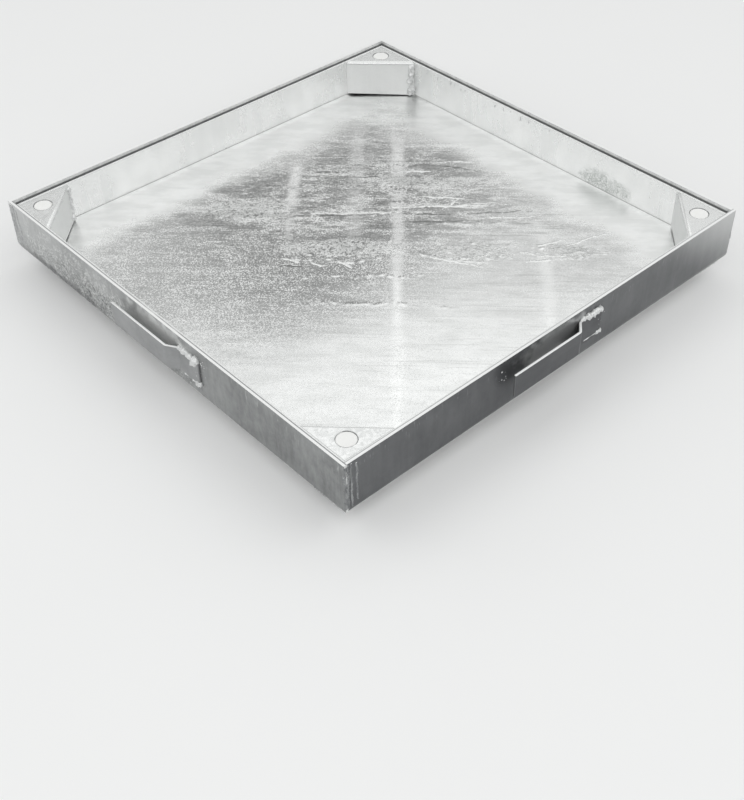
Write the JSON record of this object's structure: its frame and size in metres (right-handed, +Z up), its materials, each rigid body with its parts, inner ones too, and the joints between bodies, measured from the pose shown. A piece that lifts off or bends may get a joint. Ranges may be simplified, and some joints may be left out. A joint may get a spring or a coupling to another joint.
{
  "type": "recessed paving cover",
  "caption": "Galvanised recessed access cover: a welded tray for paving, with plugged corner pockets, screwed down into a folded angle frame with anchor lugs.",
  "frame": {"origin": "middle of the plan, at the lower ends of the four nuts that the cover stands on", "axes": "+Z up, towards the rim that lies level with the paving; X and Y along the sides of the square frame"},
  "size_m": [0.621, 0.628, 0.088],
  "materials": {
    "galvanised_steel": "hot-dip galvanised, mottled",
    "screw_steel": "stainless, satin",
    "plug_plastic": "smooth white",
    "seal_rubber": "matte black"
  },
  "bodies": {
    "root": {"anchor_lug_back": "galvanised_steel", "anchor_lug_front": "galvanised_steel", "anchor_lug_left": "galvanised_steel", "anchor_lug_right": "galvanised_steel", "clamp_nuts": "galvanised_steel", "clamp_screws": "screw_steel", "corner_pocket_back_left": "galvanised_steel", "corner_pocket_back_right": "galvanised_steel", "corner_pocket_front_left": "galvanised_steel", "corner_pocket_front_right": "galvanised_steel", "corner_weld_back_left": "galvanised_steel", "corner_weld_back_right": "galvanised_steel", "corner_weld_front_left": "galvanised_steel", "corner_weld_front_right": "galvanised_steel", "flange_weld_back_left": "galvanised_steel", "flange_weld_back_right": "galvanised_steel", "flange_weld_front_left": "galvanised_steel", "flange_weld_front_right": "galvanised_steel", "frame_back": "galvanised_steel", "frame_front": "galvanised_steel", "frame_left": "galvanised_steel", "frame_right": "galvanised_steel", "hole_plugs": "plug_plastic", "lug_weld_back": "galvanised_steel", "lug_weld_front": "galvanised_steel", "lug_weld_left": "galvanised_steel", "lug_weld_right": "galvanised_steel", "nut_welds": "galvanised_steel", "pocket_weld_back_left": "galvanised_steel", "pocket_weld_back_right": "galvanised_steel", "pocket_weld_front_left": "galvanised_steel", "pocket_weld_front_right": "galvanised_steel", "seal_strip_back": "seal_rubber", "seal_strip_front": "seal_rubber", "seal_strip_left": "seal_rubber", "seal_strip_right": "seal_rubber", "seal_washers": "screw_steel", "tray_floor": "galvanised_steel", "tray_wall_back": "galvanised_steel", "tray_wall_front": "galvanised_steel", "tray_wall_left": "galvanised_steel", "tray_wall_right": "galvanised_steel"}
  },
  "joints": []
}
